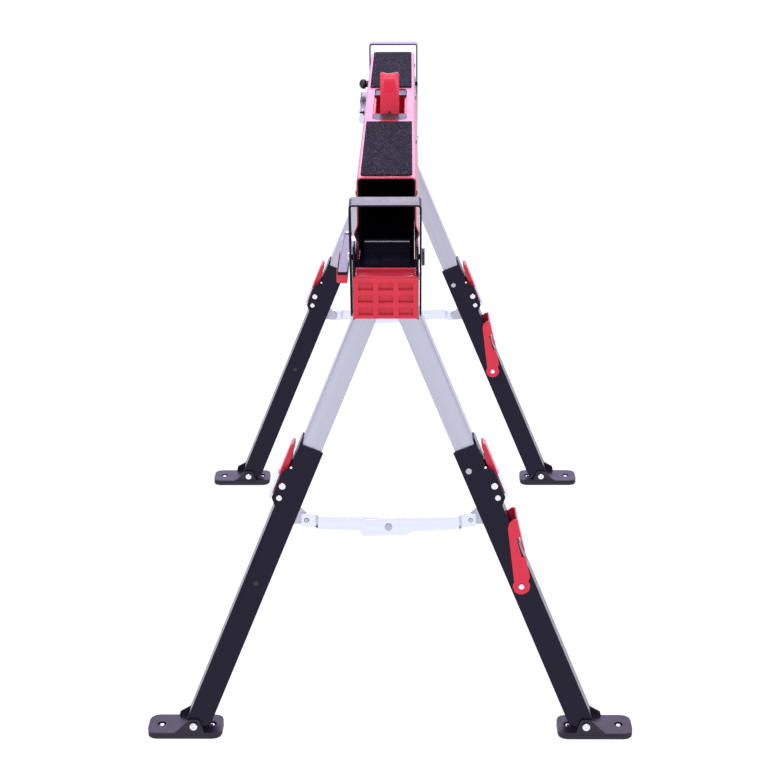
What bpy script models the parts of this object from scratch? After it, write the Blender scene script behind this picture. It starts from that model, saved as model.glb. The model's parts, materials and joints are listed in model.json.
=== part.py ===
"""Folding sawhorse: a sheet-steel beam on two folding pairs of telescopic legs.

Metres, +Z up.  X runs across the beam, Y along it, and the origin is on the floor under the beam's
middle.  The front end is at -Y and the rear end at +Y; "outward" is away from the beam's middle.
Each end of the beam carries a leg carrier that folds about X, two legs that swing about the
carrier's own fore-and-aft axis, and a two-bar spreader between the legs.
"""

import math

import bmesh
import bpy
from mathutils import Matrix, Vector

# ---------------------------------------------------------------- driving dimensions
GAP = 0.0003  # left between pieces that touch
BORE_PLAY = 0.0004  # radial play of a pin in its hole

# beam
BEAM_HALF_LENGTH = 0.455
BEAM_HALF_WIDTH = 0.0375
BEAM_TOP = 0.810
BEAM_BOTTOM = 0.700
BEAM_SHEET = 0.002
BEAM_CORNER = 0.006
BEAD_CENTRE = 0.7368
BEAD_HALF_HEIGHT = 0.0125
BEAD_BULGE = 0.004

# black channel that stiffens each half of the beam from inside
STIFFENER_INNER = 0.1295
STIFFENER_OUTER = 0.4185
STIFFENER_HALF_WIDTH = 0.0350
STIFFENER_LOW = 0.7022
STIFFENER_TOP = 0.8050

# grip pads and the lever well between them
PAD_HALF_WIDTH = 0.0325
PAD_INNER = 0.130
PAD_OUTER = 0.447
PAD_THICKNESS = 0.0015
PAD_CORNER = 0.007
WELL_HALF_WIDTH = 0.0245
WELL_FRONT = -0.112
WELL_REAR = 0.122
WELL_CORNER = 0.010
WELL_DEPTH = 0.042
WELL_WALL = 0.002
WELL_FLANGE = 0.0015
WELL_PLATE_THICKNESS = 0.003
FRONT_PLATE_LENGTH = 0.0505
REAR_PLATE_LENGTH = 0.0440

# lock lever in the well
LEVER_PIVOT = (-0.0520, 0.795)  # Y, Z
LEVER_HALF_WIDTH = 0.0138
LEVER_TOP = 0.8687
LEVER_SHEET = 0.0024
LEVER_DEPTH = 0.012
LEVER_PIN = 0.0025

# leg carrier
CARRIER_Y = 0.405
CARRIER_Z = 0.668
CARRIER_HALF_WIDTH = 0.0362
CARRIER_SHEET = 0.0025
CARRIER_TOP = 0.010
CARRIER_BOTTOM = -0.046
CARRIER_PIN = 0.004
LEAN = math.radians(2.8)  # leg plane's lean outward from vertical

# legs, measured from the hip pivot down the leg
LEG_SPREAD = math.radians(22.15)
HIP_X = 0.0185
HIP_DROP = 0.028
HIP_PIN = 0.004
TUBE_HALF_WIDTH = 0.0145
TUBE_HALF_DEPTH = 0.018
TUBE_WALL = 0.0015
TUBE_TOP = 0.011
TUBE_LENGTH = 0.340
CHANNEL_SHEET = 0.002
CHANNEL_HALF_WIDTH = 0.0168
CHANNEL_HALF_DEPTH = 0.0205
CHANNEL_TOP = 0.222
CHANNEL_TONGUE = 0.2155
FOOT_PIVOT_HEIGHT = 0.020
FOOT_PIVOT_ACROSS = 0.0050  # outward from the leg's axis
LEG_LENGTH = (CARRIER_Z - HIP_DROP * math.cos(LEAN) - FOOT_PIVOT_HEIGHT) / (
    math.cos(LEG_SPREAD) * math.cos(LEAN)
) + FOOT_PIVOT_ACROSS * math.tan(LEG_SPREAD)

# latch at the head of the lower leg
EAR_TOP = 0.2580
EAR_BOTTOM = 0.3080
EAR_REACH = 0.0250
EAR_CHAMFER = 0.009
LATCH_PIVOT = (0.0205, 0.3090)  # outward from the leg's axis, down the leg
LATCH_PIN = 0.002
LATCH_HUB = 0.0034
LATCH_TIP = 0.2275
LATCH_OUTER = 0.0272
LATCH_HALF_DEPTH = 0.012
KEEPER_SEAT = 0.0248
KEEPER_OUTER = 0.0292
KEEPER_TOP = 0.2755
KEEPER_BOTTOM = 0.3125

# cable hook on the right lower legs
HOOK_PIVOT = (-0.0020, 0.4370)
HOOK_HALF_DEPTH = 0.0235
HOOK_SHEET = 0.0022
HOOK_END = 0.012
HOOK_PIN = 0.0035

# feet
FOOT_OUT = 0.0670
FOOT_IN = 0.0385
FOOT_HALF_DEPTH = 0.0245
FOOT_PLATE = 0.0030
FOOT_PAD = 0.0067
FOOT_CORNER = 0.013
FOOT_HOLE = 0.0062
FOOT_HOLE_OUT = 0.0485
FOOT_HOLE_IN = 0.0235
FOOT_SADDLE_OUT = 0.027
FOOT_SADDLE_IN = 0.014
FOOT_SADDLE_RISE = 0.0008
FOOT_EAR_INNER = 0.0212
FOOT_EAR_SHEET = 0.0025
FOOT_PIN = 0.004

# spreader
SPREADER_PIVOT = (-0.031, 0.322)  # on the inner side of the leg
SPREADER_SAG = math.radians(2.5)
SPREADER_HALF_HEIGHT = 0.0094
SPREADER_SHEET = 0.0025
SPREADER_PIN = 0.003
SPREADER_PLANES = {-1: 0.0213, 1: 0.0241}  # the left bar runs behind the right one
LUG_LOW = 0.0120
LUG_HIGH = 0.0150
JOGGLE_START = 0.012
JOGGLE_END = 0.016
CENTRE_PLATE_FAR = 0.038
CENTRE_PLATE_NEAR = 0.0295
CENTRE_PLATE_TOP = 0.0105
CENTRE_PLATE_BOTTOM = 0.0135

# end brackets, bumpers and bails
BRACKET_SHEET = 0.0022
BRACKET_INNER = BEAM_HALF_WIDTH + GAP
BRACKET_OUTER = BRACKET_INNER + BRACKET_SHEET
BRACKET_END = 0.5610
BRACKET_LOW = 0.6590
BRACKET_SHOULDER = 0.7220
BRACKET_ROUND = 0.030
TRAY_TOP = 0.7045
TRAY_INNER = 0.420
TRAY_HALF_WIDTH = 0.0350
TRAY_TAB = 0.7216
BUMPER_FRONT = 0.5660
BUMPER_BACK = 0.5390
BUMPER_LOW = 0.6615
BUMPER_FACE_TOP = 0.7136
BUMPER_TOP = 0.7190
BUMPER_FACE_HALF = 0.0395
RECESS_DEPTH = 0.004
RECESS_HALF_WIDTH = 0.0086
RECESS_HALF_HEIGHT = 0.0049
RECESS_PITCH_X = 0.0243
RECESS_PITCH_Z = 0.0158
BAIL_Y = 0.553
BAIL_Z = 0.736
BAIL_INNER = 0.0410
BAIL_OUTER = 0.0434
BAIL_RISE = 0.0745
BAIL_TAIL = 0.080
BAIL_HALF_STRAP = 0.0115
BAIL_LEAN = {"front": math.radians(11), "rear": math.radians(-1)}  # outward
BAIL_STUD = 0.0035
KNOB_TIP = 0.0625
KNOB_RADIUS = 0.0092
THUMB_NUT_RADIUS = 0.0105
THUMB_NUT_THICKNESS = 0.0034
PLAIN_NUT_THICKNESS = 0.0018
THUMB_NUT_TEETH = 12

# fold-out support arms on the left side
ARM_X = -0.0520
ARM_PIVOT_Y = 0.3905
ARM_END = 0.5620
ARM_INNER = 0.3825
ARM_TOP = 0.7200
ARM_SHEET = 0.0032
ARM_HALF_WIDTH = 0.0058
ARM_PIN = 0.0025
ARM_TIP_START = 0.4780
ARM_TIP_HALF_WIDTH = 0.0072
ARM_TIP_LOW = 0.7065
ARM_BLOCK_LOW = 0.7000
ARM_BLOCK_TOP = 0.7135
ARM_BLOCK_INNER = 0.380
ARM_BLOCK_OUTER = 0.402
ARM_BLOCK_REACH = 0.0590

ENDS = {"front": -1, "rear": 1}
SIDES = {"left": -1, "right": 1}


# ---------------------------------------------------------------- materials
def material(name, colour, roughness, metallic=0.0):
    made = bpy.data.materials.new(name)
    made.use_nodes = True
    shader = made.node_tree.nodes["Principled BSDF"]
    shader.inputs["Base Color"].default_value = (*colour, 1.0)
    shader.inputs["Roughness"].default_value = roughness
    shader.inputs["Metallic"].default_value = metallic
    made.diffuse_color = (*colour, 1.0)
    return made


FINISHES = {
    "red_paint": ((0.62, 0.02, 0.045), 0.25, 0.0),
    "red_plastic": ((0.68, 0.03, 0.07), 0.35, 0.0),
    "black_steel": ((0.022, 0.020, 0.028), 0.42, 0.0),
    "grey_steel": ((0.13, 0.125, 0.14), 0.45, 0.6),
    "silver_steel": ((0.72, 0.74, 0.82), 0.28, 1.0),
    "aluminium": ((0.60, 0.62, 0.72), 0.40, 1.0),
    "grip": ((0.035, 0.033, 0.045), 0.95, 0.0),
    "black_plastic": ((0.015, 0.015, 0.017), 0.5, 0.0),
    "rubber": ((0.020, 0.019, 0.024), 0.8, 0.0),
}


# ---------------------------------------------------------------- shape helpers
AXES = {"X": (1, 2, 0), "Y": (0, 2, 1), "Z": (0, 1, 2)}


def to_object(shape):
    """Turns a bmesh into a scene object with its faces pointing out."""
    bmesh.ops.recalc_face_normals(shape, faces=shape.faces)
    mesh = bpy.data.meshes.new("piece")
    shape.to_mesh(mesh)
    shape.free()
    made = bpy.data.objects.new("piece", mesh)
    bpy.context.scene.collection.objects.link(made)
    return made


def prism(outline, axis, low, high):
    """Extrudes a flat outline along an axis; the outline lists the other two coordinates in order."""
    u, v, w = AXES[axis]
    shape = bmesh.new()
    ring = []
    for first, second in outline:
        place = [0.0, 0.0, 0.0]
        place[u], place[v], place[w] = first, second, low
        ring.append(shape.verts.new(place))
    face = shape.faces.new(ring)
    grown = bmesh.ops.extrude_face_region(shape, geom=[face])
    step = Vector((0, 0, 0))
    step[w] = high - low
    moved = [item for item in grown["geom"] if isinstance(item, bmesh.types.BMVert)]
    bmesh.ops.translate(shape, vec=step, verts=moved)
    return to_object(shape)


def block(low, high):
    """A box between two corners."""
    outline = [(low[0], low[1]), (high[0], low[1]), (high[0], high[1]), (low[0], high[1])]
    return prism(outline, "Z", low[2], high[2])


def arc(centre, radius, start, end, steps):
    """Points on an arc, both ends included; angles in degrees."""
    angles = [math.radians(start + (end - start) * i / steps) for i in range(steps + 1)]
    return [(centre[0] + radius * math.cos(a), centre[1] + radius * math.sin(a)) for a in angles]


def round_box(half_u, half_v, radius, steps=2, centre=(0.0, 0.0)):
    """The outline of a rectangle with round corners."""
    points = []
    corners = ((1, 1, 0), (-1, 1, 90), (-1, -1, 180), (1, -1, 270))
    for sign_u, sign_v, start in corners:
        middle = (
            centre[0] + sign_u * (half_u - radius),
            centre[1] + sign_v * (half_v - radius),
        )
        points += arc(middle, radius, start, start + 90, steps)
    return points


def round_end(half_width, inner, outer, radius, steps=3):
    """The outline of a plate in X and Y with round corners at its outer end only."""
    way = 1 if outer > inner else -1
    centre = outer - way * radius
    points = arc((half_width - radius, centre), radius, 0, 90 * way, steps)
    points += arc((radius - half_width, centre), radius, 90 * way, 180 * way, steps)
    return points + [(-half_width, inner), (half_width, inner)]


def rod(axis, centre, radius, low, high, sides=12):
    """A round bar along an axis; centre gives the other two coordinates."""
    return prism(arc(centre, radius, 0, 360 - 360 / sides, sides - 1), axis, low, high)


def turned(profile, axis, centre, sides=16):
    """A solid of revolution about an axis, from (distance along the axis, radius) pairs.

    The first and last points lie on the axis.
    """
    u, v, w = AXES[axis]
    shape = bmesh.new()
    rings = []
    for along, radius in profile:
        place = [0.0, 0.0, 0.0]
        place[w] = along
        if radius == 0:
            place[u], place[v] = centre
            rings.append([shape.verts.new(place)])
            continue
        ring = []
        for i in range(sides):
            turn = 2 * math.pi * i / sides
            place[u] = centre[0] + radius * math.cos(turn)
            place[v] = centre[1] + radius * math.sin(turn)
            ring.append(shape.verts.new(place))
        rings.append(ring)
    for first, second in zip(rings, rings[1:]):
        for i in range(sides):
            j = (i + 1) % sides
            if len(first) == 1:
                shape.faces.new((first[0], second[j], second[i]))
            elif len(second) == 1:
                shape.faces.new((first[i], first[j], second[0]))
            else:
                shape.faces.new((first[i], first[j], second[j], second[i]))
    return to_object(shape)


def combine(base, add=(), cut=()):
    """Joins and cuts solids with exact Booleans and returns the one solid that results."""
    for tools, operation in ((add, "UNION"), (cut, "DIFFERENCE")):
        for tool in tools:
            step = base.modifiers.new(operation, "BOOLEAN")
            step.operation = operation
            step.solver = "EXACT"
            step.object = tool
            tool.hide_render = True
            tool.display_type = "WIRE"
    bpy.context.view_layer.update()
    seen = base.evaluated_get(bpy.context.evaluated_depsgraph_get())
    mesh = bpy.data.meshes.new_from_object(seen)
    base.modifiers.clear()
    base.data = mesh
    for tool in (*add, *cut):
        bpy.data.objects.remove(tool, do_unlink=True)
    return base


def mirrored(piece, side=1, end=1):
    """Mirrors a piece across X and Y, so that one shape serves both sides and both ends."""
    piece.data.transform(Matrix.Diagonal((side, end, 1, 1)))
    if side * end < 0:
        piece.data.flip_normals()
    return piece


def frame(name, parent=None, place=Matrix.Identity(4)):
    """An empty whose origin is on a joint's axis; the pieces of the moving body are its children."""
    made = bpy.data.objects.new("frame_" + name, None)
    made.empty_display_size = 0.02
    bpy.context.scene.collection.objects.link(made)
    made.parent = parent
    made.matrix_local = place
    return made


def node(name, piece, finish, parent=None):
    """Names a finished piece, gives it a material and hangs it on its body's frame."""
    piece.name = name
    piece.data.name = name
    piece.parent = parent
    piece.data.materials.clear()
    piece.data.materials.append(material(name, *FINISHES[finish]))
    piece.data.shade_smooth()
    piece.data.set_sharp_from_angle(angle=math.radians(35))
    return piece


# ---------------------------------------------------------------- beam
def bead(height):
    """How far the beam's wall bulges out at a height."""
    offset = (height - BEAD_CENTRE) / BEAD_HALF_HEIGHT
    return BEAD_BULGE * 0.5 * (1 + math.cos(math.pi * offset)) if abs(offset) < 1 else 0.0


def beam_side(inset):
    """One side of the beam's section from the bottom edge to the top corner, inset by the sheet."""
    width = BEAM_HALF_WIDTH - inset
    top = BEAM_TOP - inset
    corner = BEAM_CORNER - inset
    steps = 8
    points = [(width, BEAM_BOTTOM)]
    for i in range(steps + 1):
        height = BEAD_CENTRE + BEAD_HALF_HEIGHT * (2 * i / steps - 1)
        points.append((width + bead(height), height))
    points += arc((width - corner, top - corner), corner, 0, 90, 3)
    return points


def build_beam():
    outer = beam_side(0.0)
    inner = beam_side(BEAM_SHEET)
    outline = outer + [(-x, z) for x, z in reversed(outer)]
    outline += [(-x, z) for x, z in inner] + list(reversed(inner))
    channel = prism(outline, "Y", -BEAM_HALF_LENGTH, BEAM_HALF_LENGTH)
    middle = (WELL_FRONT + WELL_REAR) / 2
    half = (WELL_REAR - WELL_FRONT) / 2
    slot = prism(
        round_box(WELL_HALF_WIDTH, half, WELL_CORNER, 3, (0.0, middle)),
        "Z",
        BEAM_TOP - 2 * BEAM_SHEET,
        BEAM_TOP + BEAM_SHEET,
    )
    node("beam_channel", combine(channel, cut=[slot]), "red_paint")

    for end, sign in ENDS.items():
        low = BEAM_TOP + GAP
        outline = round_end(PAD_HALF_WIDTH, PAD_INNER, PAD_OUTER, PAD_CORNER)
        pad = prism(outline, "Z", low, low + PAD_THICKNESS)
        node("grip_pad_" + end, mirrored(pad, end=sign), "grip")
        build_stiffener(end, sign)


def build_stiffener(end, sign):
    """U-shaped channel inside the beam, open upwards, with its inner end folded up."""
    half = STIFFENER_HALF_WIDTH
    channel = block(
        (-half, STIFFENER_INNER, STIFFENER_LOW), (half, STIFFENER_OUTER, STIFFENER_TOP)
    )
    hollow = block(
        (BEAM_SHEET - half, STIFFENER_INNER + BEAM_SHEET, STIFFENER_LOW + BEAM_SHEET),
        (half - BEAM_SHEET, STIFFENER_OUTER + 0.01, STIFFENER_TOP + 0.01),
    )
    node("stiffener_" + end, mirrored(combine(channel, cut=[hollow]), end=sign), "black_steel")


def build_well():
    """The folded steel box under the slot, its two cover plates and the lever's pin."""
    top = BEAM_TOP - BEAM_SHEET - GAP
    outer = WELL_HALF_WIDTH - 0.0008
    inner = outer - WELL_WALL
    front = WELL_FRONT + 0.001
    rear = WELL_REAR - 0.001
    plate_top = BEAM_TOP - 0.0015
    wall_top = plate_top - WELL_PLATE_THICKNESS - GAP
    box = block((-outer, front, top - WELL_DEPTH), (outer, rear, wall_top))
    hollow = block(
        (-inner, front + WELL_WALL, top - WELL_DEPTH + WELL_WALL),
        (inner, rear - WELL_WALL, wall_top + 0.01),
    )
    flanges = []
    for side in SIDES.values():
        for start, low, high in (
            (outer - 0.001, wall_top - WELL_FLANGE, wall_top),
            (WELL_HALF_WIDTH + 0.0007, wall_top - WELL_FLANGE, top),
        ):
            near, far = sorted((side * start, side * PAD_HALF_WIDTH))
            flanges.append(block((near, front + 0.004, low), (far, rear - 0.004, high)))
    node("lever_housing", combine(box, add=flanges, cut=[hollow]), "red_paint")

    for end, inner_end, outer_end in (
        ("front", WELL_FRONT + FRONT_PLATE_LENGTH, WELL_FRONT + 0.0005),
        ("rear", WELL_REAR - REAR_PLATE_LENGTH, WELL_REAR - 0.0005),
    ):
        outline = round_end(WELL_HALF_WIDTH - 0.0005, inner_end, outer_end, WELL_CORNER)
        plate = prism(outline, "Z", plate_top - WELL_PLATE_THICKNESS, plate_top)
        node("well_plate_" + end, plate, "grey_steel")

    pin = rod("X", LEVER_PIVOT, LEVER_PIN, -inner + GAP, inner - GAP, 10)
    node("lever_pin", pin, "silver_steel")


def build_lever():
    """The upright lock lever: a channel with side flanges that the pin passes through."""
    y, z = LEVER_PIVOT
    body = frame("lever", place=Matrix.Translation((0, y, z)))
    face = -0.0085
    height = LEVER_TOP - z
    web_outline = [
        (-LEVER_HALF_WIDTH, -0.008),
        (LEVER_HALF_WIDTH, -0.008),
        (LEVER_HALF_WIDTH, height - 0.003),
        (LEVER_HALF_WIDTH - 0.002, height),
        (LEVER_HALF_WIDTH - 0.006, height - 0.0012),
        (0.0, height - 0.0020),
        (-LEVER_HALF_WIDTH + 0.006, height - 0.0012),
        (-LEVER_HALF_WIDTH + 0.002, height),
        (-LEVER_HALF_WIDTH, height - 0.003),
    ]
    web = prism(web_outline, "Y", face, face + LEVER_SHEET)
    flange_outline = [
        (face + 0.001, -0.008),
        (0.003, -0.008),
        (face + LEVER_DEPTH, -0.002),
        (face + LEVER_DEPTH, height - 0.008),
        (face + LEVER_DEPTH - 0.004, height - 0.004),
        (face + 0.001, height - 0.003),
    ]
    inner = LEVER_HALF_WIDTH - LEVER_SHEET
    flanges = [
        prism(flange_outline, "X", -LEVER_HALF_WIDTH, -inner),
        prism(flange_outline, "X", inner, LEVER_HALF_WIDTH),
    ]
    bore = rod("X", (0, 0), LEVER_PIN + BORE_PLAY, -0.02, 0.02, 10)
    notch = prism([(-0.003, -0.010), (0.003, -0.010), (0.0, -0.004)], "Y", face - 0.01, face + 0.01)
    node("lock_lever", combine(web, add=flanges, cut=[bore, notch]), "red_paint", body)


# ---------------------------------------------------------------- ends of the beam
def build_bracket(end, sign):
    """Folded bracket: two side plates outside the beam's walls joined by a tray."""
    outline = [
        (CARRIER_Y - BRACKET_ROUND, BRACKET_SHOULDER),
        (0.505, BRACKET_SHOULDER),
        (0.520, 0.742),
        (0.528, 0.7495),
        (0.556, 0.7495),
        (BRACKET_END, 0.744),
        (BRACKET_END, BRACKET_LOW),
        (0.445, BRACKET_LOW),
    ]
    outline += arc((CARRIER_Y, CARRIER_Z), BRACKET_ROUND, -40, -180, 6)
    plates = [
        prism(outline, "X", side * BRACKET_INNER, side * BRACKET_OUTER) for side in SIDES.values()
    ]
    floor_low = TRAY_TOP - BRACKET_SHEET
    wide = block(
        (-BRACKET_INNER - 0.001, BEAM_HALF_LENGTH + 0.001, floor_low),
        (BRACKET_INNER + 0.001, BUMPER_BACK - GAP, TRAY_TOP),
    )
    narrow = block(
        (-TRAY_HALF_WIDTH, TRAY_INNER, floor_low),
        (TRAY_HALF_WIDTH, BEAM_HALF_LENGTH + 0.002, TRAY_TOP),
    )
    tab = block((-0.030, TRAY_INNER, floor_low), (0.030, TRAY_INNER + BRACKET_SHEET, TRAY_TAB))
    web = block(
        (-BRACKET_INNER - 0.001, BUMPER_BACK - GAP - BRACKET_SHEET, BRACKET_LOW + 0.004),
        (BRACKET_INNER + 0.001, BUMPER_BACK - GAP, TRAY_TOP),
    )
    studs = [
        rod("X", (BAIL_Y, BAIL_Z), BAIL_STUD, side * (BRACKET_INNER + 0.001), side * BAIL_OUTER)
        for side in SIDES.values()
    ]
    holes = [
        rod("X", (CARRIER_Y, CARRIER_Z), CARRIER_PIN + BORE_PLAY, side * 0.030, side * 0.045)
        for side in SIDES.values()
    ]
    base = combine(wide, add=[*plates, narrow, tab, web, *studs], cut=holes)
    node("end_bracket_" + end, mirrored(base, end=sign), "black_steel")


def build_bumper(end, sign):
    """Moulded bumper with nine pockets in its face and a shallow tray on its ledge."""
    body = prism(
        [
            (BUMPER_BACK, BUMPER_LOW + 0.002),
            (BUMPER_FRONT, BUMPER_LOW),
            (BUMPER_FRONT, BUMPER_FACE_TOP - 0.002),
            (BUMPER_FRONT - 0.0015, BUMPER_FACE_TOP),
            (BUMPER_BACK + 0.001, BUMPER_TOP),
            (BUMPER_BACK, BUMPER_TOP - 0.001),
        ],
        "X",
        -BUMPER_FACE_HALF,
        BUMPER_FACE_HALF,
    )
    room = [
        block(
            (min(s * (BRACKET_INNER - GAP), s * 0.05), BUMPER_BACK - 0.01, 0.6),
            (max(s * (BRACKET_INNER - GAP), s * 0.05), BRACKET_END + GAP, 0.8),
        )
        for s in SIDES.values()
    ]
    middle = (BUMPER_LOW + BUMPER_FACE_TOP) / 2 - 0.001
    pockets = [
        block(
            (
                column * RECESS_PITCH_X - RECESS_HALF_WIDTH,
                BUMPER_FRONT - RECESS_DEPTH,
                middle + row * RECESS_PITCH_Z - RECESS_HALF_HEIGHT,
            ),
            (
                column * RECESS_PITCH_X + RECESS_HALF_WIDTH,
                BUMPER_FRONT + 0.01,
                middle + row * RECESS_PITCH_Z + RECESS_HALF_HEIGHT,
            ),
        )
        for column in (-1, 0, 1)
        for row in (-1, 0, 1)
    ]
    ledge = block(
        (-0.034, BUMPER_BACK + 0.004, BUMPER_FACE_TOP), (0.034, BUMPER_FRONT - 0.006, 0.73)
    )
    node(
        "end_bumper_" + end,
        mirrored(combine(body, cut=[*room, *pockets, ledge]), end=sign),
        "red_plastic",
    )


def build_carrier_bolt(end, sign):
    head = BRACKET_OUTER + GAP
    profile = [
        (-head - 0.0045, 0.0),
        (-head - 0.0045, 0.0050),
        (-head - 0.0020, 0.0070),
        (-head, 0.0070),
        (-head, CARRIER_PIN),
        (head, CARRIER_PIN),
        (head, 0.0070),
        (head + 0.0020, 0.0070),
        (head + 0.0045, 0.0050),
        (head + 0.0045, 0.0),
    ]
    bolt = turned(profile, "X", (CARRIER_Y, CARRIER_Z), 12)
    node("carrier_bolt_" + end, mirrored(bolt, end=sign), "silver_steel")


def build_bail(end, sign):
    """The end bail: a flat strap bent into a U, pivoting on the bracket's studs."""
    place = Matrix.Translation((0, sign * BAIL_Y, BAIL_Z)) @ Matrix.Rotation(
        -sign * BAIL_LEAN[end], 4, "X"
    )
    body = frame("bail_" + end, place=place)
    thick = BAIL_OUTER - BAIL_INNER
    outer = [(BAIL_OUTER, -BAIL_TAIL)] + arc(
        (BAIL_OUTER - 0.005, BAIL_RISE - 0.005), 0.005, 0, 90, 3
    )
    inner = [(BAIL_INNER, -BAIL_TAIL)] + arc(
        (BAIL_OUTER - 0.005, BAIL_RISE - 0.005), 0.005 - thick, 0, 90, 3
    )
    outline = outer + [(-x, z) for x, z in reversed(outer)]
    outline += [(-x, z) for x, z in inner] + list(reversed(inner))
    strap = prism(outline, "Y", -BAIL_HALF_STRAP, BAIL_HALF_STRAP)
    bores = [
        rod("X", (0, 0), BAIL_STUD + BORE_PLAY, side * 0.03, side * 0.06) for side in SIDES.values()
    ]
    tail_corner = 0.007
    trims = []
    for y_side in (-1, 1):
        corner = [
            (y_side * BAIL_HALF_STRAP, -BAIL_TAIL + tail_corner),
            (y_side * (BAIL_HALF_STRAP - tail_corner), -BAIL_TAIL),
            (y_side * (BAIL_HALF_STRAP + 0.001), -BAIL_TAIL - 0.001),
        ]
        trims.append(prism(corner, "X", -0.05, 0.05))
    node("bail_" + end, combine(strap, cut=[*bores, *trims]), "black_steel", body)


def build_bail_nuts():
    """A toothed thumb nut, a domed knob and two plain nuts on the four bail studs."""
    seat = BAIL_OUTER + GAP

    thumb = frame("thumb_nut", place=Matrix.Translation((0, -BAIL_Y, BAIL_Z)))
    outline = []
    for i in range(THUMB_NUT_TEETH):
        step = 2 * math.pi / THUMB_NUT_TEETH
        for turn, radius in ((0.0, 1.0), (0.35, 1.0), (0.5, 0.86), (0.85, 0.86)):
            angle = (i + turn) * step
            reach = THUMB_NUT_RADIUS * radius
            outline.append((reach * math.cos(angle), reach * math.sin(angle)))
    node("thumb_nut", prism(outline, "X", seat, seat + THUMB_NUT_THICKNESS), "black_plastic", thumb)

    knob = frame("lock_knob", place=Matrix.Translation((0, BAIL_Y, BAIL_Z)))
    dome = [(-seat, 0.0), (-seat, 0.0062), (-0.0500, 0.0062), (-0.0520, KNOB_RADIUS)]
    steps = 5
    depth = KNOB_TIP - 0.0555
    for i in range(steps):
        turn = math.pi / 2 * i / steps
        dome.append((-0.0555 - depth * math.sin(turn), KNOB_RADIUS * math.cos(turn)))
    dome.append((-KNOB_TIP, 0.0))
    node("lock_knob", turned(dome, "X", (0, 0), 16), "black_plastic", knob)

    for name, side, sign in (("bail_nut_front", -1, -1), ("bail_nut_rear", 1, 1)):
        hexagon = arc((sign * BAIL_Y, BAIL_Z), 0.0062, 0, 300, 5)
        nut = prism(hexagon, "X", side * seat, side * (seat + PLAIN_NUT_THICKNESS))
        node(name, nut, "silver_steel")


def build_arm(end, sign):
    """Fold-out support arm with a moulded tip, turning on a pin in its block."""
    base = block(
        (-ARM_BLOCK_REACH, ARM_BLOCK_INNER, ARM_BLOCK_LOW),
        (-BRACKET_OUTER - GAP, ARM_BLOCK_OUTER, ARM_BLOCK_TOP),
    )
    pin = rod("Z", (ARM_X, ARM_PIVOT_Y), ARM_PIN, ARM_BLOCK_TOP - 0.002, ARM_TOP + 0.0015)
    washer = rod(
        "Z", (ARM_X, ARM_PIVOT_Y), 0.0055, ARM_BLOCK_TOP - 0.001, ARM_TOP - ARM_SHEET - GAP
    )
    hinge = combine(base, add=[pin, washer])
    node("arm_hinge_" + end, mirrored(hinge, end=sign), "silver_steel")

    place = Matrix.Translation((ARM_X, sign * ARM_PIVOT_Y, 0))
    body = frame("arm_" + end, place=place)
    inner = ARM_INNER - ARM_PIVOT_Y
    outer = ARM_END - ARM_PIVOT_Y
    outline = [
        (-ARM_HALF_WIDTH, inner + 0.003),
        (-ARM_HALF_WIDTH + 0.003, inner),
        (ARM_HALF_WIDTH - 0.003, inner),
        (ARM_HALF_WIDTH, inner + 0.003),
        (ARM_HALF_WIDTH, outer),
        (-ARM_HALF_WIDTH, outer),
    ]
    bar = prism(outline, "Z", ARM_TOP - ARM_SHEET, ARM_TOP)
    bore = rod("Z", (0, 0), ARM_PIN + BORE_PLAY, 0.7, 0.73)
    node("support_arm_" + end, mirrored(combine(bar, cut=[bore]), end=sign), "black_steel", body)

    start = ARM_TIP_START - ARM_PIVOT_Y
    under = ARM_TOP - ARM_SHEET - GAP
    tip_outline = [
        (-ARM_TIP_HALF_WIDTH, start),
        (ARM_HALF_WIDTH, start),
        (ARM_HALF_WIDTH, outer + 0.003),
        (-ARM_TIP_HALF_WIDTH + 0.004, outer + 0.003),
        (-ARM_TIP_HALF_WIDTH, outer - 0.001),
    ]
    tip = prism(tip_outline, "Z", ARM_TIP_LOW, under)
    lip = block(
        (-ARM_TIP_HALF_WIDTH, start, ARM_TIP_LOW + 0.001),
        (-ARM_HALF_WIDTH - GAP, outer - 0.001, ARM_TOP + 0.0005),
    )
    node("arm_tip_" + end, mirrored(combine(tip, add=[lip]), end=sign), "red_plastic", body)


# ---------------------------------------------------------------- legs
def build_carrier(end, sign):
    """The box that folds the pair of legs: two cheeks, two sides, a top and the two hip pins."""
    place = Matrix.Translation((0, sign * CARRIER_Y, CARRIER_Z)) @ Matrix.Rotation(
        sign * LEAN, 4, "X"
    )
    body = frame("carrier_" + end, place=place)
    inner = TUBE_HALF_DEPTH + 0.0004
    outer = inner + CARRIER_SHEET
    side_inner = CARRIER_HALF_WIDTH - CARRIER_SHEET
    base = block(
        (-CARRIER_HALF_WIDTH, -outer, CARRIER_BOTTOM), (CARRIER_HALF_WIDTH, outer, CARRIER_TOP)
    )
    hollow = block(
        (-side_inner, -inner, CARRIER_BOTTOM - 0.01),
        (side_inner, inner, CARRIER_TOP - CARRIER_SHEET),
    )
    room = block((-0.05, -inner, CARRIER_BOTTOM - 0.01), (0.05, inner, -0.010))
    pins = [
        rod("Y", (side * HIP_X, -HIP_DROP), HIP_PIN, -outer - 0.002, outer + 0.002)
        for side in SIDES.values()
    ]
    bore = rod("X", (0, 0), CARRIER_PIN + BORE_PLAY, -0.05, 0.05)
    carrier = combine(combine(base, cut=[hollow, room, bore]), add=pins)
    node("leg_carrier_" + end, mirrored(carrier, end=sign), "black_steel", body)
    return body


def leg_frame(name, carrier, side):
    """The hip: local X is across the leg, local -Z runs down it."""
    place = Matrix.Translation((side * HIP_X, 0, -HIP_DROP)) @ Matrix.Rotation(
        -side * LEG_SPREAD, 4, "Y"
    )
    return frame(name, carrier, place)


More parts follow.
